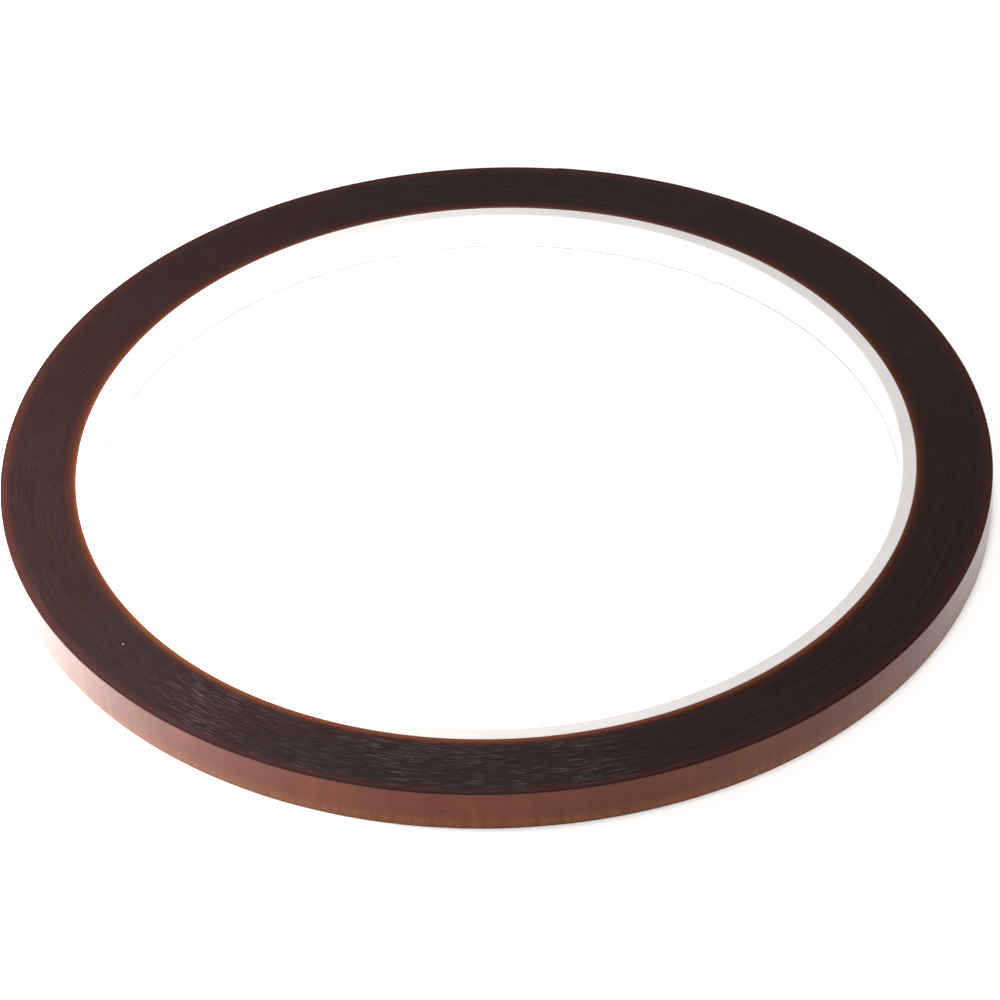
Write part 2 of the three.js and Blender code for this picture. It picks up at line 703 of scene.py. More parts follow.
@dataclass(frozen=True)
class CopperFoilFinish:
    """Satin rolled copper, browned a little, with rolling lines, dents and a few dark pits.

    A browning is where a mark's mask starts and ends, and the share of brown at its end.
    """

    bright: Colour = (0.135, 0.036, 0.0145)
    brown: Colour = (0.085, 0.021, 0.0085)
    pit: Colour = (0.012, 0.005, 0.004)
    # Painted reflection: lighter and yellower towards the lower edge, standing in for the floor reflected
    # there.
    floor_reflection: Colour = (0.290, 0.114, 0.044)
    reflection_height: float = 2.3 * MM
    reflection_share: float = 0.7
    line_size: tuple[float, float] = (9 * MM, 0.09 * MM)
    mottle_size: tuple[float, float] = (0.9 * MM, 9 * MM)
    grain_size: tuple[float, float] = (0.22 * MM, 0.5 * MM)
    blotch_size: float = 7 * MM
    pit_spacing: float = 1.5 * MM
    pit_radius: float = 0.30 * MM
    pit_share: float = 0.16
    blotch_browning: tuple[float, float, float] = (0.0, 1.0, 0.5)
    mottle_browning: tuple[float, float, float] = (0.35, 0.68, 0.55)
    grain_browning: tuple[float, float, float] = (0.35, 0.70, 0.45)
    line_browning: tuple[float, float, float] = (0.45, 0.75, 0.25)
    roughness: tuple[float, float] = (0.30, 0.42)
    line_bump: Bump = Bump(0.5, 0.004 * MM)
    dent_bump: Bump = Bump(0.6, 0.02 * MM)
    lacquer_ior: float = 1.25
    lacquer_roughness: float = 0.3

    def material(self) -> bpy.types.Material:
        """Builds the material on the strip's own places.

        Returns:
            The material. Its colour is the bright one, lighter and yellower towards the lower edge as
            a painted reflection of the floor, browned by each mark in turn, with the pits on top.
        """
        material, graph, shader = new_material("copper_foil")
        place = graph.node("UVMap", {"uv_map": PLACE_MAP}).outputs[0]
        lines = self.rolled(graph, place, self.line_size)
        mottle = self.rolled(graph, place, self.mottle_size)
        grain = self.rolled(graph, place, self.grain_size)
        blotch = graph.group(Blotches(), Place=place, Size=self.blotch_size).outputs[0]
        pits = graph.group(
            Specks(), Place=place, Spacing=self.pit_spacing, Radius=self.pit_radius, Share=self.pit_share
        ).outputs[0]
        # Painted reflection of the floor, strongest at the foil's lower edge.
        low = graph.span(graph.parts(place)[1], self.reflection_height, 0.0, 0.0, self.reflection_share)
        colour = self.browned(graph, self.bright, blotch, self.blotch_browning)
        colour = graph.mix(low, colour, self.floor_reflection)
        colour = self.browned(graph, colour, mottle, self.mottle_browning)
        colour = self.browned(graph, colour, grain, self.grain_browning)
        colour = self.browned(graph, colour, lines, self.line_browning)
        colour = graph.mix(pits, colour, self.pit)
        set_shader(
            graph,
            shader,
            Base_Color=colour,
            Metallic=1.0,
            Roughness=graph.span(lines, *NOISE_RANGE, *self.roughness),
            Coat_Weight=1.0,
            Coat_IOR=self.lacquer_ior,
            Coat_Roughness=self.lacquer_roughness,
            Normal=graph.bump(mottle, self.dent_bump, below=graph.bump(lines, self.line_bump)),
        )
        return material

    def rolled(self, graph: Graph, place: Socket, size: tuple[float, float]) -> Socket:
        """Rolled lines of a length and a width."""
        return graph.group(RolledLines(), Place=place, Length=size[0], Width=size[1]).outputs[0]

    def browned(self, graph: Graph, colour: object, mask: Socket, browning: tuple) -> Socket:
        """A colour, mixed with brown where a mark's mask is high."""
        start, end, share = browning
        return graph.mix(graph.span(mask, start, end, 0.0, share), colour, self.brown)


@dataclass(frozen=True)
class AdhesiveFinish:
    """Black pressure-sensitive adhesive: dark, tacky and faintly glossy, with lint specks."""

    black: Colour = (0.012, 0.009, 0.010)
    lint: Colour = (0.10, 0.08, 0.08)
    roughness: tuple[float, float] = (0.28, 0.5)
    gloss: float = 0.25
    blotch_size: float = 1.5 * MM
    blotch_bump: Bump = Bump(0.5, 0.01 * MM)
    lint_spacing: float = 2.5 * MM
    lint_radius: float = 0.15 * MM
    lint_share: float = 0.2

    def material(self) -> bpy.types.Material:
        """Builds the material on the strip's own places.

        Returns:
            The material.
        """
        material, graph, shader = new_material("black_adhesive")
        place = graph.node("UVMap", {"uv_map": PLACE_MAP}).outputs[0]
        blotch = graph.group(Blotches(), Place=place, Size=self.blotch_size).outputs[0]
        lint = graph.group(
            Specks(), Place=place, Spacing=self.lint_spacing, Radius=self.lint_radius, Share=self.lint_share
        ).outputs[0]
        set_shader(
            graph,
            shader,
            Base_Color=graph.mix(lint, self.black, self.lint),
            Roughness=graph.span(blotch, 0.0, 1.0, *self.roughness),
            Specular_IOR_Level=self.gloss,
            Normal=graph.bump(blotch, self.blotch_bump),
        )
        return material


@dataclass(frozen=True)
class LinerFinish:
    """Release liner: thin dark paper with long fibres and a dull face."""

    paper: Colour = (0.030, 0.017, 0.018)
    fibre: Colour = (0.055, 0.036, 0.037)
    roughness: tuple[float, float] = (0.55, 0.75)
    gloss: float = 0.2
    fibre_length: float = 1.1 * MM
    fibre_width: float = 0.12 * MM
    fibre_from_to: tuple[float, float] = (0.35, 0.7)
    fibre_bump: Bump = Bump(0.4, 0.008 * MM)

    def material(self) -> bpy.types.Material:
        """Builds the material on the strip's own places.

        Returns:
            The material.
        """
        material, graph, shader = new_material("liner_paper")
        place = graph.node("UVMap", {"uv_map": PLACE_MAP}).outputs[0]
        fibres = graph.group(
            RolledLines(), Place=place, Length=self.fibre_length, Width=self.fibre_width
        ).outputs[0]
        set_shader(
            graph,
            shader,
            Base_Color=graph.mix(graph.span(fibres, *self.fibre_from_to), self.paper, self.fibre),
            Roughness=graph.span(fibres, *NOISE_RANGE, *self.roughness),
            Specular_IOR_Level=self.gloss,
            Normal=graph.bump(fibres, self.fibre_bump),
        )
        return material


@dataclass(frozen=True)
class WoundEdgeFinish:
    """The slit edges of the wound turns: fine dark lines of foil, adhesive and liner.

    A from_to pair is where an effect starts and where it is full. A pace is the noise's periods to a
    turn across the strip, and to a radian along it. The ring is redder towards its rims, which is
    painted light: a glow of light bounced from the white core at the inner rim, with a copper glow
    there that is wider towards -Y, and a painted reflection at the outer rim. A dark line of painted
    shade lies just inside the outer rim, towards -Y. The slit edges show light burrs, a few everywhere
    and many towards one direction, -Y and a little left, where their light colour is mostly a painted
    glint of the sheen light. Faces that stand upright are the strip's own outer face, and show its
    copper.
    """

    liner: Colour = (0.0095, 0.0040, 0.0038)
    adhesive: Colour = (0.0035, 0.0018, 0.0018)
    foil: Colour = (0.0240, 0.0085, 0.0065)
    # Light colour of burrs: a few everywhere, and towards one direction mostly a painted glint of the sheen
    # light.
    burr_and_glint: Colour = (0.088, 0.064, 0.073)
    # Painted glow at the inner rim, red and then copper: light bounced from the white core.
    inner_red_glow: Colour = (0.034, 0.0085, 0.0045)
    inner_copper_glow: Colour = (0.125, 0.033, 0.011)
    # Painted glow at the outer rim: reflected light, painted as a redder colour.
    outer_red_glow: Colour = (0.038, 0.0095, 0.0065)
    foil_face: Colour = (0.115, 0.030, 0.0125)
    dust: Colour = (0.20, 0.17, 0.165)
    layer_blur: float = 0.03
    streak_pace: tuple[float, float] = (0.55, 4.0)
    streak_from_to: tuple[float, float] = (0.42, 0.72)
    streak_share: float = 0.45
    burr_pace: tuple[float, float] = (1.0, 24.0)
    burr_from_to: tuple[float, float] = (0.51, 0.66)
    patch_size: float = 8 * MM
    patch_from_to: tuple[float, float] = (0.1, 0.8)
    least_patch: float = 0.35
    # The painted glint's direction, -Y and a little left, where the sheen light catches the burrs.
    glint_direction: float = math.radians(-103)
    glint_from_to: tuple[float, float] = (0.80, 0.94)
    least_burr: float = 0.12
    most_burr_and_glint: float = 0.80
    # Widths of the painted glows at the rims; the copper glow is weaker behind, away from -Y.
    inner_glow_width: float = 2.0 * MM
    copper_glow_width: float = 0.95 * MM
    copper_glow_behind: float = 0.25
    narrow_glow_width: float = 0.35 * MM
    outer_glow_width: float = 1.8 * MM
    # A dark line of painted shade just inside the outer rim, shown only towards -Y.
    rim_shade_from_to: tuple[float, float] = (0.55 * MM, 0.25 * MM)
    rim_shade_share: float = 0.85
    front_from_to: tuple[float, float] = (-0.3, -0.8)
    dust_spacing: float = 7 * MM
    dust_radius: float = 0.2 * MM
    dust_share: float = 0.3
    face_from_to: tuple[float, float] = (0.4, 0.2)
    roughness: tuple[float, float] = (0.34, 0.52)
    gloss: float = 0.065
    streak_height: float = 0.4
    burr_height: float = 0.6
    edge_bump: Bump = Bump(0.7, 0.02 * MM)

    def material(self, strip: Strip) -> bpy.types.Material:
        """Builds the material from the winding's own geometry.

        Args:
            strip: the strip, whose layers set the lines' widths.

        Returns:
            The material.
        """
        material, graph, shader = new_material("wound_edge")
        place = graph.group(
            WoundPlace(), Ring_Inner=strip.ring_inner, Pitch=strip.pitch, End_Direction=strip.end_direction
        )
        radius = place.outputs["Radius"]
        centred = graph.node("TexCoord").outputs["Object"]
        streaks = self.streaks(graph, place, *self.streak_pace)
        burrs = self.streaks(graph, place, *self.burr_pace)

        colour = self.layer_lines(graph, place.outputs["Layer"], strip)
        on_streak = graph.span(streaks, *self.streak_from_to, 0.0, self.streak_share)
        colour = graph.mix(on_streak, colour, self.foil)
        # Light burrs, mostly a painted glint towards one direction.
        colour = graph.mix(self.burr_and_glint_share(graph, burrs, centred, radius), colour, self.burr_and_glint)
        # Painted light at the rims: glows at both, and a dark line of painted shade at the outer one.
        colour = self.rims(graph, colour, centred, radius, strip)
        dust = graph.group(
            Specks(),
            Place=centred,
            Spacing=self.dust_spacing,
            Radius=self.dust_radius,
            Share=self.dust_share,
        )
        colour = graph.mix(dust.outputs[0], colour, self.dust)
        rise = graph.math("ABSOLUTE", graph.parts(graph.node("NewGeometry").outputs["Normal"])[2])
        on_face = graph.span(rise, *self.face_from_to)
        raised = graph.math("MULTIPLY", streaks, self.streak_height)
        height = graph.math("ADD", raised, graph.math("MULTIPLY", burrs, self.burr_height))
        set_shader(
            graph,
            shader,
            Base_Color=graph.mix(on_face, colour, self.foil_face),
            Metallic=on_face,
            Roughness=graph.span(streaks, *NOISE_RANGE, *self.roughness),
            Specular_IOR_Level=self.gloss,
            Normal=graph.bump(height, self.edge_bump),
        )
        return material

    def streaks(self, graph: Graph, place: bpy.types.Node, across: float, along: float) -> Socket:
        """Noise drawn out along the turns.

        Args:
            graph: the material's graph.
            place: the node that gives the streak place.
            across: noise periods to a turn.
            along: noise periods to a radian.

        Returns:
            The noise's value.
        """
        on_strip = place.outputs["Streak Place"]
        stretched = graph.node("VectorMath", {"operation": "MULTIPLY"}, Vector=on_strip)
        stretched.inputs[1].default_value = (across, along, along)
        return graph.noise(stretched.outputs[0], detail=4.0, roughness=0.65)

    def layer_lines(self, graph: Graph, layer: Socket, strip: Strip) -> Socket:
        """The three layers' colours, by the place within a turn.

        Args:
            graph: the material's graph.
            layer: the place within a turn, from 0 at the liner's inner face to 1 at the foil's outer.
            strip: the strip.

        Returns:
            The colour.
        """
        adhesive_from = strip.liner / strip.pitch
        foil_from = (strip.liner + strip.adhesive) / strip.pitch
        blur = self.layer_blur
        on_adhesive = graph.span(layer, adhesive_from - blur, adhesive_from + blur)
        on_foil = graph.span(layer, foil_from - blur, foil_from + blur)
        on_foil = graph.math("MULTIPLY", on_foil, graph.span(layer, 1.0, 1.0 - blur))
        colour = graph.mix(on_adhesive, self.liner, self.adhesive)
        return graph.mix(on_foil, colour, self.foil)

    def burr_and_glint_share(self, graph: Graph, burrs: Socket, centred: Socket, radius: Socket) -> Socket:
        """How much of the burrs' light colour shows: their noise, in soft patches, most around one
        direction, where it is mostly a painted glint of the sheen light.

        Args:
            graph: the material's graph.
            burrs: the burrs' noise.
            centred: the place from the roll's axis.
            radius: that place's distance from the axis.

        Returns:
            The share of the burrs' light colour, a painted glint towards that direction.
        """
        patches = graph.group(Blotches(), Place=centred, Size=self.patch_size).outputs[0]
        rough_patch = graph.span(patches, *self.patch_from_to, self.least_patch, 1.0)
        burr_and_glint_share = graph.math("MULTIPLY", graph.span(burrs, *self.burr_from_to), rough_patch)
        facing = graph.node("VectorMath", {"operation": "DOT_PRODUCT"}, Vector=centred)
        direction = self.glint_direction
        facing.inputs[1].default_value = (math.cos(direction), math.sin(direction), 0.0)
        towards_glint = graph.math("DIVIDE", facing.outputs["Value"], radius)
        # Painted glint: the burrs' light colour grows towards the sheen light's direction.
        glinting = graph.span(towards_glint, *self.glint_from_to, self.least_burr, self.most_burr_and_glint)
        return graph.math("MULTIPLY", burr_and_glint_share, glinting)

    def rims(self, graph: Graph, colour: Socket, centred: Socket, radius: Socket, strip: Strip) -> Socket:
        """Adds painted light at the rims: a red and a copper glow at the inner one, a red glow and
        a dark line of painted shade at the outer one.

        Args:
            graph: the material's graph.
            colour: the colour so far.
            centred: the place from the roll's axis.
            radius: that place's distance from the axis.
            strip: the strip.

        Returns:
            The colour. The copper glow is wider, and the painted shade only shows, towards -Y.
        """
        inner, rim = strip.ring_inner, strip.core_radius + strip.turns * strip.pitch
        towards_front = graph.math("DIVIDE", graph.parts(centred)[1], radius)
        at_front = graph.span(towards_front, *self.front_from_to)
        # Painted glow of light bounced from the white core, red then copper, at the inner rim.
        inner_red_glow = graph.span(radius, inner + self.inner_glow_width, inner)
        copper = graph.span(radius, inner + self.copper_glow_width, inner)
        copper = graph.math("MULTIPLY", copper, graph.span(at_front, 0.0, 1.0, self.copper_glow_behind, 1.0))
        copper = graph.math("MAXIMUM", copper, graph.span(radius, inner + self.narrow_glow_width, inner))
        # Painted glow of reflected light at the outer rim.
        outer_red_glow = graph.span(radius, rim - self.outer_glow_width, rim)
        # Painted shade: a dark line just inside the outer rim, in the adhesive's colour.
        shade_from, shade_to = self.rim_shade_from_to
        outer_rim_shade = graph.span(radius, rim - shade_from, rim - shade_to, 0.0, self.rim_shade_share)
        outer_rim_shade = graph.math("MULTIPLY", outer_rim_shade, at_front)
        colour = graph.mix(inner_red_glow, colour, self.inner_red_glow)
        colour = graph.mix(copper, colour, self.inner_copper_glow)
        colour = graph.mix(outer_red_glow, colour, self.outer_red_glow)
        return graph.mix(outer_rim_shade, colour, self.adhesive)


@dataclass(frozen=True)
class CorePlasticFinish:
    """Off-white satin plastic; its cut faces are painted darker than its walls as shade, with faint marks
    of the parting tool.
    """

    wall: Colour = (0.90, 0.895, 0.89)
    # Painted shade: the cut faces are much darker than the walls, so that they read less lit.
    cut_face_shade: Colour = (0.54, 0.50, 0.49)
    worn: Colour = (0.80, 0.77, 0.75)
    worn_share: float = 0.15
    cut_depth: float = 0.2 * MM
    marks_per_metre: float = 9000.0
    mark_bump: Bump = Bump(0.3, 0.01 * MM)
    blotch_size: float = 9 * MM
    roughness: tuple[float, float] = (0.42, 0.58)

    def material(self, width: float) -> bpy.types.Material:
        """Builds the material: rings of noise on the radius, and soft blotches.

        Args:
            width: the core's width, whose two ends are the cut faces.

        Returns:
            The material.
        """
        material, graph, shader = new_material("core_plastic")
        centred = graph.node("TexCoord").outputs["Object"]
        x, y, z = graph.parts(centred)
        rings = graph.math("MULTIPLY", graph.distance(x, y), self.marks_per_metre)
        marks = graph.noise(graph.vector(rings, 0.0, 0.0), detail=1.0)
        blotch = graph.group(Blotches(), Place=centred, Size=self.blotch_size).outputs[0]
        from_middle = graph.math("ABSOLUTE", graph.math("SUBTRACT", z, width / 2))
        # The cut faces get the darker colour of painted shade.
        cut = graph.span(from_middle, width / 2 - self.cut_depth, width / 2)
        colour = graph.mix(cut, self.wall, self.cut_face_shade)
        colour = graph.mix(graph.math("MULTIPLY", blotch, self.worn_share), colour, self.worn)
        set_shader(
            graph,
            shader,
            Base_Color=colour,
            Roughness=graph.span(marks, *NOISE_RANGE, *self.roughness),
            Normal=graph.bump(marks, self.mark_bump),
        )
        return material


@dataclass(frozen=True)
class FloorFinish:
    """A plain pale floor."""

    white: Colour = (0.92, 0.90, 0.89)
    roughness: float = 0.9

    def material(self) -> bpy.types.Material:
        """Builds the material, without any gloss.

        Returns:
            The material.
        """
        material, graph, shader = new_material("floor")
        set_shader(graph, shader, Base_Color=self.white, Roughness=self.roughness, Specular_IOR_Level=0.0)
        return material


# ---------------------------------------------------------------------------------------------
# The roll
# ---------------------------------------------------------------------------------------------


@dataclass(frozen=True)
class Finishes:
    """Every finish of the roll, made once."""

    plastic: bpy.types.Material
    copper: bpy.types.Material
    adhesive: bpy.types.Material
    liner: bpy.types.Material
    wound: bpy.types.Material

    @classmethod
    def make(cls, strip: Strip) -> "Finishes":
        """Builds the materials.

        Args:
            strip: the strip, whose width and pitch two of the finishes follow.

        Returns:
            The finishes.
        """
        return cls(
            CorePlasticFinish().material(strip.width),
            CopperFoilFinish().material(),
            AdhesiveFinish().material(),
            LinerFinish().material(),
            WoundEdgeFinish().material(strip),
        )

    def of_layer(self, layer: Layer) -> tuple[bpy.types.Material, str]:
        """A layer's material and its slot in the record.

        Args:
            layer: the layer.

        Returns:
            The material and the slot's name.
        """
        return {
            Layer.LINER: (self.liner, "liner_paper"),
            Layer.ADHESIVE: (self.adhesive, "black_adhesive"),
            Layer.FOIL: (self.copper, "copper_foil"),
        }[layer]


def dress(piece: bpy.types.Object, material: bpy.types.Material, slot: str) -> bpy.types.Object:
    """Gives a piece its material.

    Args:
        piece: the piece.
        material: its material.
        slot: not used.

    Returns:
        The same piece.
    """
    piece.data.materials.append(material)
    return piece


@dataclass
class CoreRing:
    """The thin plastic ring that the strip is wound on."""

    strip: Strip
    wall: float = 1.85 * MM
    rounding: float = 0.2 * MM
    segments: int = 720
    corner_steps: int = 7
    side_rows: int = 6

    def build(self, finishes: Finishes) -> bpy.types.Object:
        """Turns a round-cornered upright rectangle about the roll's axis.

        Args:
            finishes: the roll's finishes.

        Returns:
            The ring.
        """
        outline = rounded_outline(
            self.wall, self.strip.width, self.rounding, self.corner_steps, self.side_rows
        )
        wound = np.linspace(0, CIRCLE, self.segments, endpoint=False)[:, None]
        radius = self.strip.core_radius - self.wall + outline[None, :, 0]
        height = np.broadcast_to(outline[None, :, 1], (self.segments, len(outline)))
        rows = self.strip.point(radius, wound, height)
        piece = sweep("core", rows, closed=True).build()
        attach(piece, "roll")
        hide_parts("core_ring")
        return dress(piece, finishes.plastic, "core_plastic")


@dataclass
class StripStretch:
    """One layer of one stretch of the strip, with round slit edges.

    Its outline is a round-cornered upright rectangle as deep as the layer. It is carried along the
    strip's spiral, and lies inside the strip's width by the layer's own setback.
    """

    strip: Strip
    layer: Layer
    name: str
    first: float
    last: float
    step: float = math.radians(0.25)
    foil_rows: int = 22
    plain_rows: int = 2
    long_waves: Ripples = Ripples(9 * MM, 14 * MM, 14, seed=3)
    short_waves: Ripples = Ripples(2.6 * MM, 9 * MM, 16, seed=5)
    long_share: float = 0.25
    short_share: float = 0.12
    dent_depth: float = 0.008 * MM
    dent_fade: int = 4

    def build(self) -> bpy.types.Object:
        """Carries the layer's outline along the spiral.

        The foil's face is pressed in by shallow dents, which fade towards its inner face as a power
        of the place in its depth.

        Returns:
            The piece, with its places along and around the strip in its UV map.
        """
        strip, setback = self.strip, self.strip.setback(self.layer)
        low, high = strip.span(self.layer)
        thickness = high - low
        rows = self.foil_rows if self.layer is Layer.FOIL else self.plain_rows
        rounding = strip.edge_rounding * thickness
        outline = rounded_outline(thickness, strip.width - 2 * setback, rounding, strip.corner_steps, rows)
        count = max(2, round((self.last - self.first) / self.step) + 1)
        wound = np.linspace(self.first, self.last, count)[:, None]
        along = wound * strip.core_radius
        height = np.broadcast_to(outline[None, :, 1] + setback, (count, len(outline)))
        fade = (outline[None, :, 0] / thickness) ** self.dent_fade
        depth = outline[None, :, 0] - self.dents(along, height) * fade
        points = strip.point(strip.inner_face(wound) + low + depth, wound, height)
        outline_length = np.cumsum(np.hypot(*np.diff(outline, axis=0, prepend=outline[:1]).T))
        place = np.stack(np.broadcast_arrays(along, outline_length[None, :]), axis=-1)
        return sweep(self.name, points, closed=False, place=place).build()

    def dents(self, along: np.ndarray, height: np.ndarray) -> np.ndarray:
        """How far the face is pressed in: long shallow waves and shorter ones across the strip.

        Args:
            along: places along the strip.
            height: places across it.

        Returns:
            Depths from 0 to the dent depth; 0 for the liner and the adhesive.
        """
        if self.layer is not Layer.FOIL:
            return np.zeros(np.broadcast(along, height).shape)
        waves = self.long_share * self.long_waves.at(along, height)
        waves = waves + self.short_share * self.short_waves.at(along, height)
        return self.dent_depth * np.clip(0.5 + waves, 0, 1)


@dataclass
class StartTurn:
    """The strip's first turn: adhesive on the core, and the foil on it."""

    strip: Strip
    segments: int = 720
    adhesive_setback: float = 0.015 * MM
    side_rows: int = 1

    def build(self, finishes: Finishes) -> list[bpy.types.Object]:
        """Builds two thin rings, one inside the other.

        Args:
            finishes: the roll's finishes.

        Returns:
            The adhesive and the foil.
        """
        inner = self.strip.core_radius
        rings = (
            (Layer.ADHESIVE, self.strip.adhesive, self.adhesive_setback),
            (Layer.FOIL, self.strip.foil, self.strip.foil_setback),
        )
        pieces = []
        for layer, depth, setback in rings:
            piece = self.ring(f"start_turn_{layer.value}_ring", inner, depth, setback)
            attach(piece, "roll")
            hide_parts(f"start_turn_{layer.value}")
            pieces.append(dress(piece, *finishes.of_layer(layer)))
            inner += depth
        return pieces

    def ring(self, name: str, inner: float, depth: float, setback: float) -> bpy.types.Object:
        """A round-edged outline turned about the axis.

        Args:
            name: the piece's name.
            inner: the ring's inner radius.
            depth: its thickness.
            setback: how far its edges lie inside the strip's width.

        Returns:
            The ring.
        """
        strip = self.strip
        rounding = strip.edge_rounding * depth
        outline = rounded_outline(
            depth, strip.width - 2 * setback, rounding, strip.corner_steps, self.side_rows
        )
        wound = np.linspace(0, CIRCLE, self.segments, endpoint=False)[:, None]
        height = np.broadcast_to(outline[None, :, 1] + setback, (self.segments, len(outline)))
        rows = strip.point(inner + outline[None, :, 0], wound, height)
        place = np.stack(np.broadcast_arrays(wound * inner, height), axis=-1)
        return sweep(name, rows, closed=True, place=place).build()


class EdgeSide(Enum):
    """The two flat sides of the winding, where the strip's slit edges show."""

    TOP = 1
    UNDER = -1


@dataclass
class WoundTurns:
    """The turns between the start turn and the outer turn, in bands of a few turns each.

    A band is one stretch of the strip wound on itself. Its side is a grid along the strip and across
    one turn; the last point across a turn is the first point of the next turn, so the turns join
    without a seam. Across a turn the slit edge sinks outwards, at the places that across gives, which
    leaves a small step up to the next turn. The first turn is a wedge that starts at the tip's
    thickness. Every turn's edge lies at its own height, and the outermost ones lower, by the crown.
    """

    strip: Strip
    band_turns: int = 12
    segments: int = 720
    sharp_angle: float = math.radians(60)
    across: tuple[float, ...] = (0.0, 0.46, 0.70, 0.92)
    sink: tuple[float, ...] = (0.002 * MM, 0.007 * MM, 0.012 * MM, 0.016 * MM)
    crown_width: float = 1.6 * MM
    crown_sink: float = 0.05 * MM
    crown_limit: float = 1.2
    turn_unevenness: float = 0.011 * MM
    turn_knots: int = 24
    group_unevenness: float = 0.009 * MM
    group_waves: int = 26
    group_length: float = 0.9 * MM
    most_waves_around: int = 9
    group_share: float = 0.3
    top_seed: int = 11
    under_seed: int = 12
    least_sink: float = 0.002 * MM
    tip_thickness: float = 0.003 * MM

    def build(self, finishes: Finishes) -> list[bpy.types.Object]:
        """Builds every band; the bands' turns add up to the wound turns.

        Args:
            finishes: the roll's finishes.

        Returns:
            The bands, from the inside outwards.
        """
        pieces = []
        for number, first in enumerate(range(0, self.strip.wound_turns, self.band_turns), start=1):
            turns = min(self.band_turns, self.strip.wound_turns - first)
            piece = self.band(f"wound_band_{number}", first, turns).build(self.sharp_angle)
            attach(piece, "roll")
            pieces.append(dress(piece, finishes.wound, "wound_edge"))
        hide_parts("wound_turns")
        return pieces

    def band(self, name: str, first_turn: int, turns: int) -> Surface:
        """One band as a closed surface.

        Its points are the top's lanes, the top's outer rim, then the underside's in the same order.
        Its faces are both sides, and walls that join the two along the band's four borders: the
        inner face, the start, the outer face and the end.

        Args:
            name: the piece's name.
            first_turn: the number of turns inside the band.
            turns: the band's own turns.

        Returns:
            The band's surface.
        """
        side = self.segments * turns + 1
        lanes = len(self.across)
        wound = CIRCLE * (first_turn + np.arange(side) / self.segments)
        share = np.array(self.across)
        outer = self.strip.outer_face(wound)
        inner = np.minimum(self.strip.inner_face(wound), outer - self.tip_thickness)
        radius = inner[:, None] + share[None, :] * (outer - inner)[:, None]
        last_wound = wound[-self.segments - 1 :]
        rim_radius = self.strip.outer_face(last_wound)

        points, count = [], side * lanes + len(last_wound)
        for edge in EdgeSide:
            lane_sink = np.array(self.sink)[None, :] + self.unevenness(wound[:, None], radius, edge)
            rim_sink = self.sink[0] + self.unevenness(last_wound, rim_radius, edge)
            for r, w, s in ((radius, wound[:, None], lane_sink), (rim_radius, last_wound, rim_sink)):
                depth = np.maximum(s, self.least_sink)
                height = self.strip.width - depth if edge is EdgeSide.TOP else depth
                points.append(self.strip.point(r, np.broadcast_to(w, r.shape), height).reshape(-1, 3))

        index = np.arange(side * lanes).reshape(side, lanes)
        rim = side * lanes + np.arange(len(last_wound))
        next_turn = np.concatenate([index[self.segments :, 0], rim[1:]])
        grid = np.concatenate([index, next_turn[:, None]], axis=1)
        top = np.stack([grid[:-1, :-1], grid[1:, :-1], grid[1:, 1:], grid[:-1, 1:]], axis=-1).reshape(-1, 4)
        borders = [
            index[: self.segments + 1, 0][::-1],
            grid[0],
            grid[-self.segments - 1 :, -1],
            grid[-1][::-1],
        ]
        walls = [
            np.stack([line[:-1], line[1:], line[1:] + count, line[:-1] + count], axis=-1)
            for line in borders
        ]
        quads = np.concatenate([top, top[:, ::-1] + count, *walls])
        return Surface(name, np.concatenate(points), quads)

    def unevenness(self, wound: np.ndarray, radius: np.ndarray, edge: EdgeSide) -> np.ndarray:
        """How far turns lie below the proudest one.

        Each turn wanders by itself along the strip, as a value drawn every few degrees and joined by
        smooth steps. Groups of turns wander together, as whole waves around the ring.

        Args:
            wound: wound angles.
            radius: radii at those angles.
            edge: the winding's side; each side has its own draws.

        Returns:
            The depths, the crown's included.
        """
        draw = np.random.default_rng(self.top_seed if edge is EdgeSide.TOP else self.under_seed)
        values = draw.uniform(0, 1, self.strip.turns * self.turn_knots + 2)
        place = np.asarray(wound) / CIRCLE * self.turn_knots
        whole = np.floor(place).astype(int)
        share = place - whole
        share = share * share * (3 - 2 * share)
        alone = values[whole] * (1 - share) + values[whole + 1] * share
        together = np.zeros(np.broadcast(wound, radius).shape)
        waves, around = self.group_waves, self.most_waves_around
        for pace, turns, phase in zip(
            draw.normal(0, 1, waves) * CIRCLE / self.group_length,
            draw.integers(-around, around + 1, waves),
            draw.uniform(0, CIRCLE, waves),
        ):
            together += np.sin(pace * radius + turns * wound + phase)
        together = np.clip(0.5 + self.group_share * together / math.sqrt(waves), 0, 1)
        return self.turn_unevenness * alone + self.group_unevenness * together + self.crown(radius)

    def crown(self, radius: np.ndarray) -> np.ndarray:
        """How far the outermost turns have slipped down: the square of the place in the crown's width."""
        rim = self.strip.outer_face(np.array(CIRCLE * self.strip.wound_turns))
        return self.crown_sink * np.clip((radius - rim) / self.crown_width + 1, 0, self.crown_limit) ** 2


@dataclass
class OuterTurn:
    """The last whole turn up to the tail, layer by layer."""

    strip: Strip
    tail_root: float

    def build(self, finishes: Finishes) -> list[bpy.types.Object]:
        """Builds three stretches, one for each layer.

        Args:
            finishes: the roll's finishes.

        Returns:
            The three pieces, from the inner one outwards.
        """
        first = CIRCLE * self.strip.wound_turns
        pieces = []
        for layer in Layer:
            name = f"outer_turn_{layer.value}_strip"
            piece = StripStretch(self.strip, layer, name, first, first + self.tail_root).build()
            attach(piece, "roll")
            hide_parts(f"outer_turn_{layer.value}")
            pieces.append(dress(piece, *finishes.of_layer(layer)))
        return pieces


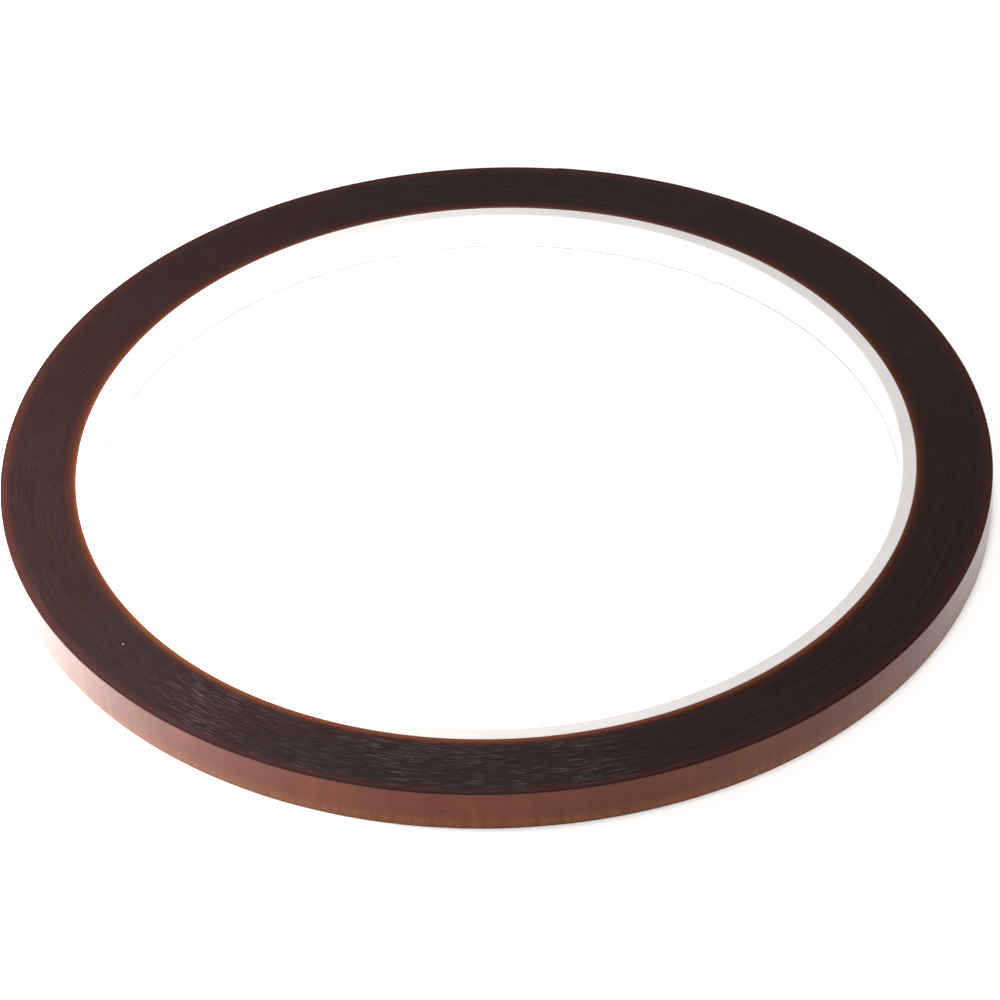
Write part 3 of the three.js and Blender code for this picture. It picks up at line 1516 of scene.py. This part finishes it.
@dataclass
class Tail:
    """The free end: the strip's last stretches, split about its hinges and laid along the last turn.

    A stretch reaches from half way between two hinges to half way to the next. The first one starts
    close to its hinge, because the strip before it lies on the roll. The last one reaches from half
    way before the last hinge to the free end.
    """

    strip: Strip
    hinges: list[Vector]
    root_reach: float = 0.15
    curl_share: float = 0.7

    def wound_at(self, place: Vector) -> float:
        """The wound angle, within the last turn, of a place on it."""
        return (math.atan2(place.y, place.x) - self.strip.end_direction) % CIRCLE

    def place_at(self, wound: float) -> Vector:
        """The place on the last turn's outer face, half way up, at a wound angle within that turn.

        Args:
            wound: the wound angle.

        Returns:
            The place.
        """
        radius = self.strip.outer_face(np.array(CIRCLE * self.strip.wound_turns + wound))
        x, y, z = self.strip.point(radius, np.array(wound), np.array(self.strip.width / 2))
        return Vector((x, y, z))

    def breaks(self) -> list[float]:
        """The wound angles, within the last turn, between which the stretches lie.

        Returns:
            One angle more than there are stretches, from the root to the free end.
        """
        bends = [self.wound_at(hinge) for hinge in self.hinges]
        link = bends[1] - bends[0]
        half_way = [bend + link / 2 for bend in bends[:-1]]
        return [bends[0] - self.root_reach * link, *half_way, CIRCLE]

    def build(self, finishes: Finishes) -> list[bpy.types.Object]:
        """Builds three layers for every stretch.

        Args:
            finishes: the roll's finishes.

        Returns:
            The pieces, from the root to the free end.
        """
        last_turn = CIRCLE * self.strip.wound_turns
        breaks = self.breaks()
        pieces = []
        for number, (first, last) in enumerate(zip(breaks, breaks[1:]), start=1):
            for layer in Layer:
                name = f"tail_{number}_{layer.value}_strip"
                piece = StripStretch(self.strip, layer, name, last_turn + first, last_turn + last).build()
                self.attach(piece, number, layer, first, last)
                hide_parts(f"tail_{number}_{layer.value}")
                pieces.append(dress(piece, *finishes.of_layer(layer)))
        return pieces

    def attach(self, piece: bpy.types.Object, number: int, layer: Layer, first: float, last: float) -> None:
        """Bakes a stretch's layer in place; the last liner alone is attached, to the last body.

        Args:
            piece: the layer of the stretch.
            number: the stretch's number, from the root.
            layer: which layer it is.
            first: the wound angle where the stretch starts.
            last: the wound angle where it ends.
        """
        bodies = ["roll", *(f"tail_{link}" for link in range(1, len(self.hinges)))]
        if number < len(self.hinges):
            start, end = self.place_at(first), self.place_at(last)
            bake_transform(piece)
            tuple(start)
        elif layer is Layer.LINER:
            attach(piece, bodies[-1])
        else:
            start = self.hinges[-1]
            end = start.lerp(self.place_at(CIRCLE), self.curl_share)
            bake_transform(piece)
            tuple(start)


# ---------------------------------------------------------------------------------------------
# Camera and light
# ---------------------------------------------------------------------------------------------


@dataclass(frozen=True)
class SoftLight:
    """A square soft light that looks at the roll."""

    name: str
    place: Vector
    size: float
    power: float
    target: Vector = Vector((0, 0, 0))
    spread: float = math.pi
    in_gloss: bool = True
    in_matt: bool = True

    def build(self) -> bpy.types.Object:
        """Makes the light and turns it to the target.

        Returns:
            The light.
        """
        data = bpy.data.lights.new(self.name, "AREA")
        data.shape = "SQUARE"
        data.size = self.size
        data.energy = self.power
        data.spread = self.spread
        lamp = bpy.data.objects.new(self.name, data)
        lamp.location = self.place
        lamp.rotation_euler = (self.target - self.place).to_track_quat("-Z", "Y").to_euler()
        lamp.visible_camera = False
        lamp.visible_glossy = self.in_gloss
        lamp.visible_diffuse = self.in_matt
        bpy.context.scene.collection.objects.link(lamp)
        return lamp


@dataclass
class Studio:
    """A plain pale floor, soft light and the camera."""

    roll_width: float
    aim_right: float = 0.39 * MM
    aim_forward: float = 9.81 * MM
    camera_distance: float = 0.5516
    camera_elevation: float = math.radians(39.667)
    camera_roll: float = math.radians(-2.009)
    lens_mm: float = 151.9
    sensor_mm: float = 36.0
    near_clip: float = 0.01
    horizon_glow: float = 2.0
    upper_glow: float = 0.25
    dimming_from_to: tuple[float, float] = (0.2, 0.45)
    floor_size: float = 8.0

    def build(self) -> None:
        """Sets up the floor, the lights, the surround and the camera."""
        self.add_floor()
        self.add_surround()
        for light in self.lights():
            light.build()
        self.add_camera()
        bpy.context.scene.view_settings.view_transform = "Standard"

    def lights(self) -> list[SoftLight]:
        """A light overhead, a wash on the left and a sheen from behind.

        Returns:
            The lights.
        """
        return [
            SoftLight(
                "overhead_light", place=Vector((0.05, -0.05, 1.0)), size=0.30, power=8.2, in_gloss=False
            ),
            SoftLight(
                "left_wash",
                place=Vector((-0.17, 0.0, 0.16)),
                size=0.10,
                power=0.43,
                target=Vector((-0.13, -0.01, 0)),
                spread=math.radians(70),
            ),
            SoftLight(
                "sheen_light", place=Vector((-0.03, 0.25, 0.50)), size=0.20, power=0.8, in_matt=False
            ),
        ]

    def add_floor(self) -> None:
        """A large flat sheet under the roll."""
        half = self.floor_size / 2
        corners = [(-half, -half, 0), (half, -half, 0), (half, half, 0), (-half, half, 0)]
        mesh = bpy.data.meshes.new("floor")
        mesh.from_pydata(corners, [], [(0, 1, 2, 3)])
        floor = bpy.data.objects.new("floor", mesh)
        floor.data.materials.append(FloorFinish().material())
        bpy.context.scene.collection.objects.link(floor)

    def add_surround(self) -> None:
        """A pale surround, bright in a band above the horizon and dim higher up."""
        world = bpy.data.worlds.new("surround")
        world.use_nodes = True
        graph = Graph(world.node_tree)
        climb = graph.parts(graph.node("TexCoord").outputs["Generated"])[2]
        strength = graph.span(climb, *self.dimming_from_to, self.horizon_glow, self.upper_glow)
        light = graph.node("Background", Color=(1.0, 1.0, 1.0), Strength=strength)
        out = graph.node("OutputWorld")
        graph.feed(out.inputs["Surface"], light.outputs[0])
        bpy.context.scene.world = world

    def add_camera(self) -> None:
        """A long lens that looks along +Y and down at the roll, tilted a little about its own axis."""
        lean = self.camera_elevation
        data = bpy.data.cameras.new("camera")
        data.lens = self.lens_mm
        data.sensor_width = self.sensor_mm
        data.clip_start = self.near_clip
        camera = bpy.data.objects.new("camera", data)
        aim = Vector((self.aim_right, -self.aim_forward, self.roll_width))
        away = Vector((0, -math.cos(lean), math.sin(lean)))
        turned = Matrix.Rotation(math.pi / 2 - lean, 4, "X") @ Matrix.Rotation(self.camera_roll, 4, "Z")
        camera.matrix_world = Matrix.Translation(aim + self.camera_distance * away) @ turned
        bpy.context.scene.collection.objects.link(camera)
        bpy.context.scene.camera = camera


# ---------------------------------------------------------------------------------------------
# Putting it together
# ---------------------------------------------------------------------------------------------


def report(pieces: list[bpy.types.Object]) -> None:
    """Logs each piece with its number of triangles.

    Args:
        pieces: the pieces.
    """
    for piece in pieces:
        triangles = sum(len(face.vertices) - 2 for face in piece.data.polygons)
        log.info("%s: %d triangles", piece.name, triangles)


def main() -> None:
    """Builds the roll around the frame, then the studio."""
    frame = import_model()
    strip = Strip.from_frame()
    finishes = Finishes.make(strip)
    hinges = [Vector(joint["pos_m"]) for joint in frame["joints"]]
    tail = Tail(strip, hinges)

    pieces = [CoreRing(strip).build(finishes)]
    pieces += StartTurn(strip).build(finishes)
    pieces += WoundTurns(strip).build(finishes)
    pieces += OuterTurn(strip, tail.breaks()[0]).build(finishes)
    pieces += tail.build(finishes)
    report(pieces)

    Studio(strip.width).build()


if __name__ == "__main__":
    logging.basicConfig(level=logging.INFO, format="%(name)s: %(message)s")
    main()
